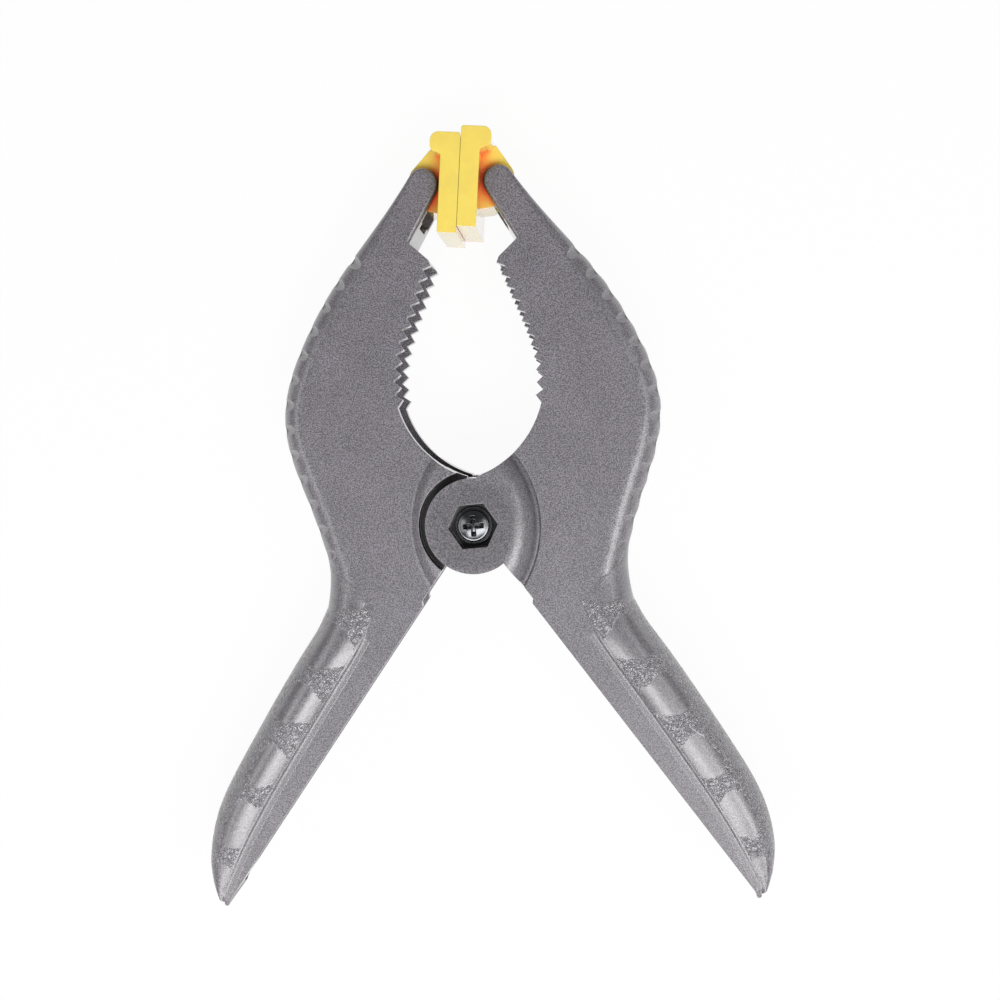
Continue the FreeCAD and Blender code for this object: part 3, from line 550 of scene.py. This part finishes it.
# a paler colour over the leather patches: a painted highlight for the crown's sheen
LEATHER_PAINTED_SHEEN = "#b4b0b7"
# dark colour in the leather creases and the border groove: painted shade
CREASE_PAINTED_SHADE = "#2c2a2d"
# dark colour along the wrinkle troughs: painted shade
WORM_PAINTED_SHADE = "#2e2c30"
WORM_SIZE = 1.5
WORM_LEVELS = 5.5  # how many contour lines the noise is cut into, which makes them wander
WORM_DEPTH = 0.35
GRIP_PIT_DEPTH = 0.03


def leather_grained_nylon():
    material = new_material("glass_filled_nylon_leather_grained")
    place = millimetres(material)
    cheek, pits, _ = nylon_colour(material, place, CHEEK_DARK, CHEEK_LIGHT)
    smooth, _, _ = nylon_colour(material, place, GRIP_DARK, GRIP_LIGHT)
    polish = add_node(material, "ShaderNodeAttribute", attribute_name="polish")
    colour = add_node(
        material,
        "ShaderNodeMix",
        {0: polish.outputs["Fac"], 6: cheek, 7: smooth},
        data_type="RGBA",
    )
    leather = add_node(material, "ShaderNodeAttribute", attribute_name="leather")
    crease = add_node(material, "ShaderNodeAttribute", attribute_name="crease")
    # Painted highlight: the leather patches are coloured paler, standing in for the sheen along the
    # crown.
    sheen_share = add_node(
        material,
        "ShaderNodeMath",
        {0: leather.outputs["Fac"], 1: 0.3},
        operation="MULTIPLY",
    )
    raised = add_node(
        material,
        "ShaderNodeMix",
        {0: sheen_share.outputs["Value"], 6: colour.outputs[2], 7: linear(LEATHER_PAINTED_SHEEN)},
        data_type="RGBA",
    )
    # Painted shade: the creases and the border groove are coloured dark.
    shaded = add_node(
        material,
        "ShaderNodeMix",
        {0: crease.outputs["Fac"], 6: raised.outputs[2], 7: linear(CREASE_PAINTED_SHADE)},
        data_type="RGBA",
    )
    worms = add_node(
        material,
        "ShaderNodeTexNoise",
        {"Vector": place, "Scale": 1 / WORM_SIZE, "Detail": 1.0, "Roughness": 0.4, "Distortion": 0.6},
    )
    levels = add_node(
        material,
        "ShaderNodeMath",
        {0: worms.outputs["Fac"], 1: WORM_LEVELS},
        operation="MULTIPLY",
    )
    ridge = add_node(
        material,
        "ShaderNodeMath",
        {0: levels.outputs["Value"], 1: 0.5},
        operation="PINGPONG",
    )
    line = add_node(
        material,
        "ShaderNodeMapRange",
        {
            "Value": ridge.outputs["Value"],
            "From Min": 0.01,
            "From Max": 0.14,
            "To Min": 0.9,
            "To Max": 0.0,
        },
    )
    # Painted shade: the wrinkle troughs of the leather grain are coloured dark.
    worm_shade_share = add_node(
        material,
        "ShaderNodeMath",
        {0: line.outputs["Result"], 1: leather.outputs["Fac"]},
        operation="MULTIPLY",
    )
    lined = add_node(
        material,
        "ShaderNodeMix",
        {0: worm_shade_share.outputs["Value"], 6: shaded.outputs[2], 7: linear(WORM_PAINTED_SHADE)},
        data_type="RGBA",
    )
    lift = add_node(
        material,
        "ShaderNodeMath",
        {0: ridge.outputs["Value"], 1: leather.outputs["Fac"]},
        operation="MULTIPLY",
    )
    wrinkle_bump = add_node(
        material,
        "ShaderNodeBump",
        {"Height": lift.outputs["Value"], "Distance": WORM_DEPTH * MM, "Strength": 0.85},
    )
    grain = add_node(
        material,
        "ShaderNodeBump",
        {
            "Height": pits,
            "Distance": GRIP_PIT_DEPTH * MM,
            "Strength": 0.4,
            "Normal": wrinkle_bump.outputs["Normal"],
        },
    )
    gloss = add_node(
        material,
        "ShaderNodeMapRange",
        {"Value": polish.outputs["Fac"], "To Min": 0.52, "To Max": 0.34},
    )
    shader = add_node(
        material,
        "ShaderNodeBsdfPrincipled",
        {
            "Base Color": lined.outputs[2],
            "Roughness": gloss.outputs["Result"],
            "IOR": 1.53,
            "Specular IOR Level": 0.8,
            "Coat Weight": slope_polish(material),
            "Coat Roughness": 0.33,
            "Coat IOR": 1.6,
            "Coat Normal": grain.outputs["Normal"],
            "Normal": grain.outputs["Normal"],
        },
    )
    add_node(material, "ShaderNodeOutputMaterial", {"Surface": shader.outputs["BSDF"]})
    return material


grained_nylon = leather_grained_nylon()
for side in levers:
    skin = grip_skin(side)
    skin.data.materials.append(grained_nylon)

# The swivel pads
# Two soft orange pads, moulded in one piece with the trunnions that snap into the arms.
# The smooth faces shine a little. Their colour holds painted light, a pale yellow on the open faces,
# and painted shade, a deep red-orange where light hardly reaches.

# the pads' colours: a lit yellow on faces and sides, painted light, and a red-orange painted shade in
# hollows
PAD_FACE_PAINTED_LIGHT = "#ffe269"
PAD_SIDE_PAINTED_LIGHT = "#ffdc64"
PAD_HOLLOW_PAINTED_SHADE = "#ff4a1a"
PAD_HOLLOW = 9.0  # how far in a hollow reaches before the painted shade deepens the colour
PAD_SWIRL = 3.5
PAD_SKIN_GRAIN = 0.6
PAD_GRAIN_DEPTH = 0.02
PAD_EDGE_ROUND = 0.3


def moulded_pad_plastic():
    material = new_material("thermoplastic_elastomer_moulded_orange")
    place = millimetres(material)
    # Painted light and shade: open faces get the lit yellow, hollows the red-orange shade.
    reach = add_node(material, "ShaderNodeAmbientOcclusion", {"Distance": PAD_HOLLOW * MM}, samples=16)
    pad_lit_share = add_node(
        material,
        "ShaderNodeMapRange",
        {"Value": reach.outputs["AO"], "From Min": 0.45, "From Max": 0.88},
    )
    deep = add_node(
        material,
        "ShaderNodeMapRange",
        {"Value": reach.outputs["AO"], "From Min": 0.20, "From Max": 0.56},
    )
    side_tone = add_node(
        material,
        "ShaderNodeMix",
        {0: deep.outputs["Result"], 6: linear(PAD_HOLLOW_PAINTED_SHADE), 7: linear(PAD_SIDE_PAINTED_LIGHT)},
        data_type="RGBA",
    )
    face_tone = add_node(
        material,
        "ShaderNodeMix",
        {0: pad_lit_share.outputs["Result"], 6: side_tone.outputs[2], 7: linear(PAD_FACE_PAINTED_LIGHT)},
        data_type="RGBA",
    )
    swirl = add_node(
        material,
        "ShaderNodeTexNoise",
        {"Vector": place, "Scale": 1 / PAD_SWIRL, "Detail": 2.0},
    )
    tone = add_node(
        material,
        "ShaderNodeMapRange",
        {
            "Value": swirl.outputs["Fac"],
            "From Min": 0.3,
            "From Max": 0.7,
            "To Min": 0.96,
            "To Max": 1.03,
        },
    )
    swirled = add_node(
        material,
        "ShaderNodeVectorMath",
        {0: face_tone.outputs[2], "Scale": tone.outputs["Result"]},
        operation="SCALE",
    )
    soft_edge = add_node(material, "ShaderNodeBevel", {"Radius": PAD_EDGE_ROUND * MM}, samples=8)
    skin = add_node(
        material,
        "ShaderNodeTexNoise",
        {"Vector": place, "Scale": 1 / PAD_SKIN_GRAIN, "Detail": 2.0},
    )
    grain = add_node(
        material,
        "ShaderNodeBump",
        {
            "Height": skin.outputs["Fac"],
            "Distance": PAD_GRAIN_DEPTH * MM,
            "Strength": 0.4,
            "Normal": soft_edge.outputs["Normal"],
        },
    )
    flat = add_node(material, "ShaderNodeNewGeometry")
    upright = add_node(material, "ShaderNodeSeparateXYZ", {"Vector": flat.outputs["True Normal"]})
    level = add_node(material, "ShaderNodeMath", {0: upright.outputs["Z"]}, operation="ABSOLUTE")
    gloss = add_node(
        material,
        "ShaderNodeMapRange",
        {"Value": level.outputs["Value"], "From Max": 0.25, "To Min": 0.05, "To Max": 0.42},
    )
    shader = add_node(
        material,
        "ShaderNodeBsdfPrincipled",
        {
            "Base Color": swirled.outputs["Vector"],
            "Roughness": gloss.outputs["Result"],
            "IOR": 1.5,
            "Coat Weight": 1.0,
            "Coat Roughness": 0.05,
            "Subsurface Weight": 0.15,
            "Subsurface Radius": (2.0 * MM, 0.8 * MM, 0.2 * MM),
            "Subsurface Scale": 1.0,
            "Normal": grain.outputs["Normal"],
        },
    )
    add_node(material, "ShaderNodeOutputMaterial", {"Surface": shader.outputs["BSDF"]})
    return material


pad_plastic = moulded_pad_plastic()
for side in levers:
    cover(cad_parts[f"{side}_pad"], pad_plastic)

# The torsion spring
# Two and a third turns of 2.8 mm hard-drawn spring wire round the barrel, with a straight leg
# down each handle. The legs bear on the spine walls and push the handles apart.

WIRE_RADIUS = 1.4
COIL_RADIUS = 7.8
COIL_PITCH = 4.0
LEG_LENGTH = 38.0
LEG_ANGLE = 35.5
SPRING_TURNS = 2
QUARTER_POINTS = 32
LEG_SHARES = (0.04, 1, 20)  # a leg's points, as shares of its length: first, last and how many
WIRE_SIDES = 20
WIRE_END_ROUND = 0.25
DRAWING_MARK = 0.5
DRAWING_DEPTH = 0.02
OIL_PATCH = 4.0


def spring_route():
    """Points along the wire's middle, from the left leg's end round the coil to the right leg's end."""
    start, end = 180 - LEG_ANGLE, LEG_ANGLE - 360 * SPRING_TURNS
    pieces = round((start - end) / 90)
    step = (start - end) / pieces
    rise = COIL_PITCH * step / 360
    drop = rise * (pieces - 1)
    knots = [start - step * number for number in range(pieces + 1)]
    levels = [MID_PLANE + drop / 2]
    for number in range(pieces):
        levels.append(levels[-1] - (rise / 2 if number in (0, pieces - 1) else rise))
    route = []
    for angle in np.linspace(start, end, QUARTER_POINTS * pieces):
        height = np.interp(-angle, [-knot for knot in knots], levels)
        spin = math.radians(angle)
        route.append(Vector((COIL_RADIUS * math.cos(spin), COIL_RADIUS * math.sin(spin), height)))
    left_way = Vector((-math.sin(math.radians(start)), math.cos(math.radians(start)), 0))
    right_way = Vector((math.sin(math.radians(end)), -math.cos(math.radians(end)), 0))
    near, far, count = LEG_SHARES
    left_leg = [route[0] + left_way * LEG_LENGTH * share for share in np.linspace(far, near, count)]
    right_leg = [route[-1] + right_way * LEG_LENGTH * share for share in np.linspace(near, far, count)]
    return left_leg + route + right_leg


def wire_mesh(name, route, radius):
    """A round wire along a route in millimetres, its cut ends slightly rounded."""
    rows = []
    before = None
    for number, spot in enumerate(route):
        ahead = route[min(number + 1, len(route) - 1)] - route[max(number - 1, 0)]
        ahead.normalize()
        if before is None:
            before = ahead.orthogonal()
        before = (before - ahead * before.dot(ahead)).normalized()
        across = ahead.cross(before)
        rows.append((spot, ahead, before.copy(), across))
    first, last = rows[0], rows[-1]
    rim = WIRE_END_ROUND
    rings = [(first[0], radius - rim, first), (first[0] + first[1] * rim, radius, first)]
    rings += [(row[0], radius, row) for row in rows[1:-1]]
    rings += [(last[0] - last[1] * rim, radius, last), (last[0], radius - rim, last)]
    wire = bmesh.new()
    loops = []
    for spot, size, (_, _, up, across) in rings:
        loop = []
        for corner in range(WIRE_SIDES):
            spin = 2 * math.pi * corner / WIRE_SIDES
            outward = up * math.cos(spin) + across * math.sin(spin)
            loop.append(wire.verts.new((spot + outward * size) * MM))
        loops.append(loop)
    for one, two in zip(loops, loops[1:]):
        for corner in range(WIRE_SIDES):
            after = (corner + 1) % WIRE_SIDES
            wire.faces.new((one[corner], one[after], two[after], two[corner]))
    wire.faces.new(loops[0][::-1])
    wire.faces.new(loops[-1])
    bmesh.ops.recalc_face_normals(wire, faces=wire.faces)
    mesh = bpy.data.meshes.new(name)
    wire.to_mesh(mesh)
    wire.free()
    mesh.shade_smooth()
    return mesh


def drawn_spring_steel():
    material = new_material("spring_steel_hard_drawn")
    place = millimetres(material)
    drawing = add_node(
        material,
        "ShaderNodeTexNoise",
        {"Vector": place, "Scale": 1 / DRAWING_MARK, "Detail": 3.0},
    )
    oil = add_node(
        material,
        "ShaderNodeTexNoise",
        {"Vector": place, "Scale": 1 / OIL_PATCH, "Detail": 2.0},
    )
    colour = add_node(
        material,
        "ShaderNodeMix",
        {0: oil.outputs["Fac"], 6: linear("#9a9a9e"), 7: linear("#c2c2c4")},
        data_type="RGBA",
    )
    gloss = add_node(
        material,
        "ShaderNodeMapRange",
        {"Value": oil.outputs["Fac"], "To Min": 0.24, "To Max": 0.42},
    )
    lines = add_node(
        material,
        "ShaderNodeBump",
        {"Height": drawing.outputs["Fac"], "Distance": DRAWING_DEPTH * MM, "Strength": 0.35},
    )
    shader = add_node(
        material,
        "ShaderNodeBsdfPrincipled",
        {
            "Base Color": colour.outputs[2],
            "Metallic": 1.0,
            "Roughness": gloss.outputs["Result"],
            "Normal": lines.outputs["Normal"],
        },
    )
    add_node(material, "ShaderNodeOutputMaterial", {"Surface": shader.outputs["BSDF"]})
    return material


spring = bpy.data.objects.new("wound_spring", wire_mesh("wound_spring", spring_route(), WIRE_RADIUS))
spring.data.materials.append(drawn_spring_steel())
bpy.context.scene.collection.objects.link(spring)
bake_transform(spring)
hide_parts("torsion_spring")

# The pivot hardware
# A zinc-plated sleeve nut sits in the lower hex pocket, and a black pan-head machine screw with
# a washer closes it from above. All three are steel, either plated or blackened.

STEEL_BLOOM = 1.6
STEEL_GRAIN = 0.3
STEEL_GRAIN_DEPTH = 0.01
STEEL_EDGE_ROUND = 0.2


def plated_steel(name, dull, bright, roughness, oil):
    """Steel between two tones, duller in blooms, under as much clear oil as is given."""
    material = new_material(name)
    place = millimetres(material)
    bloom = add_node(
        material,
        "ShaderNodeTexNoise",
        {"Vector": place, "Scale": 1 / STEEL_BLOOM, "Detail": 3.0},
    )
    colour = add_node(
        material,
        "ShaderNodeMix",
        {0: bloom.outputs["Fac"], 6: linear(dull), 7: linear(bright)},
        data_type="RGBA",
    )
    gloss = add_node(
        material,
        "ShaderNodeMapRange",
        {"Value": bloom.outputs["Fac"], "To Min": roughness * 0.8, "To Max": roughness * 1.25},
    )
    soft_edge = add_node(material, "ShaderNodeBevel", {"Radius": STEEL_EDGE_ROUND * MM}, samples=8)
    grain = add_node(
        material,
        "ShaderNodeTexNoise",
        {"Vector": place, "Scale": 1 / STEEL_GRAIN, "Detail": 2.0},
    )
    bump = add_node(
        material,
        "ShaderNodeBump",
        {
            "Height": grain.outputs["Fac"],
            "Distance": STEEL_GRAIN_DEPTH * MM,
            "Strength": 0.3,
            "Normal": soft_edge.outputs["Normal"],
        },
    )
    shader = add_node(
        material,
        "ShaderNodeBsdfPrincipled",
        {
            "Base Color": colour.outputs[2],
            "Metallic": 1.0,
            "Roughness": gloss.outputs["Result"],
            "Coat Weight": oil,
            "Coat Roughness": 0.14,
            "Normal": bump.outputs["Normal"],
        },
    )
    add_node(material, "ShaderNodeOutputMaterial", {"Surface": shader.outputs["BSDF"]})
    return material


zinc_plated = plated_steel("steel_zinc_plated", "#a9adb2", "#d4d7da", 0.28, 0.0)
blackened = plated_steel("steel_black_oxide_oiled", "#58595c", "#747679", 0.26, 0.7)
cover(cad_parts["pivot_sleeve_nut"], zinc_plated)
cover(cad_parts["screw_washer"], blackened)

HEAD_RADIUS = 4.75
HEAD_FOOT = 26.4
HEAD_TOP = 29.6
DOME_RADIUS = 8.6
DOME_RINGS = 76
DOME_TIP = 0.02  # the radius of the dome's first ring
RIM_ROUND = 0.7
RIM_RINGS = 10
RIM_LEAN = 0.25  # how far the dome already leans, in radians, where the rim's round takes over
FOOT_ROUND = 0.15
SHANK_RADIUS = 2.45
SHANK_END = 9.4
SHANK_TAPER = 0.5
CORNERS = 240
CROSS_REACH = 3.1
CROSS_HALF = 0.74
CROSS_DEPTH = 2.0
CROSS_WALL = 0.30  # an arm's side falls by CROSS_FALL over this width, so the arms are tapered
CROSS_FALL = 1.3
CROSS_END = 1.3  # an arm's end slopes down over this length
CROSS_TURN = math.radians(2.0)


def cross_depth(x, y):
    """How deep the cross recess is at a point of the head: tapered arms that meet in a pit."""
    along = np.maximum(np.abs(x), np.abs(y))
    across = np.minimum(np.abs(x), np.abs(y))
    wall = (CROSS_HALF - across) / CROSS_WALL * CROSS_FALL
    end = (CROSS_REACH - along) / CROSS_END * CROSS_DEPTH
    return np.clip(np.minimum(wall, end), 0, CROSS_DEPTH)


def pan_head_screw():
    """A turned pan head with its shank, drawn as rings. The recess is pressed into the dome's rings."""
    reach = HEAD_RADIUS - RIM_ROUND
    dome = [
        (radius, HEAD_TOP - DOME_RADIUS + math.sqrt(DOME_RADIUS**2 - radius * radius))
        for radius in np.linspace(DOME_TIP, reach, DOME_RINGS)
    ]
    shoulder = dome[-1][1] - RIM_ROUND
    rim = [
        (reach + RIM_ROUND * math.sin(turn), shoulder + RIM_ROUND * math.cos(turn))
        for turn in np.linspace(RIM_LEAN, math.pi / 2, RIM_RINGS)
    ]
    foot = [(HEAD_RADIUS, HEAD_FOOT + FOOT_ROUND), (HEAD_RADIUS - FOOT_ROUND, HEAD_FOOT)]
    shank = [
        (SHANK_RADIUS, HEAD_FOOT),
        (SHANK_RADIUS, SHANK_END + SHANK_TAPER),
        (SHANK_RADIUS - SHANK_TAPER, SHANK_END),
    ]
    profile = dome + rim + foot + shank
    spin = np.linspace(0, 2 * math.pi, CORNERS, endpoint=False)
    points = []
    for number, (radius, height) in enumerate(profile):
        x, y = radius * np.cos(spin), radius * np.sin(spin)
        drop = cross_depth(x, y) if number < len(dome) else 0 * x
        turned_x = x * math.cos(CROSS_TURN) - y * math.sin(CROSS_TURN)
        turned_y = x * math.sin(CROSS_TURN) + y * math.cos(CROSS_TURN)
        points.append(np.stack([turned_x, turned_y, height - drop], axis=-1))
    points = np.concatenate(points) * MM
    last_row = (len(profile) - 1) * CORNERS
    faces = [tuple(range(CORNERS))[::-1], tuple(last_row + corner for corner in range(CORNERS))]
    for row in range(len(profile) - 1):
        for corner in range(CORNERS):
            after = (corner + 1) % CORNERS
            one, two = row * CORNERS, (row + 1) * CORNERS
            faces.append((one + corner, one + after, two + after, two + corner))
    mesh = bpy.data.meshes.new("pan_head_screw")
    mesh.from_pydata(points.tolist(), [], faces)
    turned = bmesh.new()
    turned.from_mesh(mesh)
    bmesh.ops.recalc_face_normals(turned, faces=turned.faces)
    turned.to_mesh(mesh)
    turned.free()
    mesh.shade_smooth()
    return mesh


screw = bpy.data.objects.new("pan_head_screw", pan_head_screw())
screw.data.materials.append(blackened)
bpy.context.scene.collection.objects.link(screw)
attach(screw, "left_lever_body")
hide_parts("pivot_screw")

# The floor and the light
# A sheet of white card under the clamp, one wide softbox in front of the handles, a small one at
# each side, and a dim white room all round. The card keeps a faint shadow.

FLOOR_HALF = 6.0  # in metres, as all the sizes of this section are
FLOOR_DROP = 0.0002
FIBRES = 900.0  # in a metre of card
CARD_GLOW = 0.95  # how much of the card's look, to camera and mirrors, is plain white
LAMP_AIM = (0, 0, 0.01)
ROOM_LIGHT = 0.12


def white_card():
    material = new_material("white_card_matt")
    tooth = add_node(material, "ShaderNodeTexCoord")
    fibre = add_node(
        material,
        "ShaderNodeTexNoise",
        {"Vector": tooth.outputs["Object"], "Scale": FIBRES},
    )
    tone = add_node(
        material,
        "ShaderNodeMix",
        {0: fibre.outputs["Fac"], 6: linear("#f0f0ef"), 7: linear("#f6f6f5")},
        data_type="RGBA",
    )
    diffuse = add_node(material, "ShaderNodeBsdfDiffuse", {"Color": tone.outputs[2]})
    glow = add_node(material, "ShaderNodeEmission", {"Color": (1.0, 1.0, 1.0, 1.0), "Strength": 1.0})
    ray = add_node(material, "ShaderNodeLightPath")
    seen = add_node(
        material,
        "ShaderNodeMath",
        {0: ray.outputs["Is Camera Ray"], 1: ray.outputs["Is Glossy Ray"]},
        operation="MAXIMUM",
    )
    seen_through = add_node(
        material,
        "ShaderNodeMath",
        {0: seen.outputs["Value"], 1: ray.outputs["Is Transmission Ray"]},
        operation="MAXIMUM",
    )
    share = add_node(
        material,
        "ShaderNodeMath",
        {0: seen_through.outputs["Value"], 1: CARD_GLOW},
        operation="MULTIPLY",
    )
    mixed = add_node(
        material,
        "ShaderNodeMixShader",
        {0: share.outputs["Value"], 1: diffuse.outputs["BSDF"], 2: glow.outputs["Emission"]},
    )
    add_node(material, "ShaderNodeOutputMaterial", {"Surface": mixed.outputs["Shader"]})
    return material


card = bpy.data.meshes.new("card_floor")
card_corners = [(x * FLOOR_HALF, y * FLOOR_HALF, 0) for x, y in ((-1, -1), (1, -1), (1, 1), (-1, 1))]
card.from_pydata(card_corners, [], [(0, 1, 2, 3)])
card.materials.append(white_card())
floor = bpy.data.objects.new("card_floor", card)
floor.location.z = -FLOOR_DROP
bpy.context.scene.collection.objects.link(floor)


def softbox(name, place, size, power):
    """A rectangular area lamp at a place in metres, facing the clamp's middle."""
    lamp = bpy.data.lights.new(name, "AREA")
    lamp.shape = "RECTANGLE"
    lamp.size, lamp.size_y = size
    lamp.energy = power
    box = bpy.data.objects.new(name, lamp)
    box.location = place
    box.rotation_euler = (Vector(LAMP_AIM) - Vector(place)).to_track_quat("-Z", "Y").to_euler()
    bpy.context.scene.collection.objects.link(box)


softbox("front_softbox", (0.12, -0.48, 0.86), (1.35, 0.48), 11.2)
softbox("left_softbox", (-0.72, -0.05, 0.72), (0.80, 0.36), 1.8)
softbox("right_softbox", (0.72, -0.05, 0.72), (0.80, 0.36), 1.7)

world = bpy.data.worlds.new("bright_room")
world.use_nodes = True
bpy.context.scene.world = world
room = world.node_tree.nodes["Background"]
room.inputs["Color"].default_value = (1.0, 1.0, 1.0, 1.0)
room.inputs["Strength"].default_value = ROOM_LIGHT

bpy.context.scene.view_settings.view_transform = "Standard"
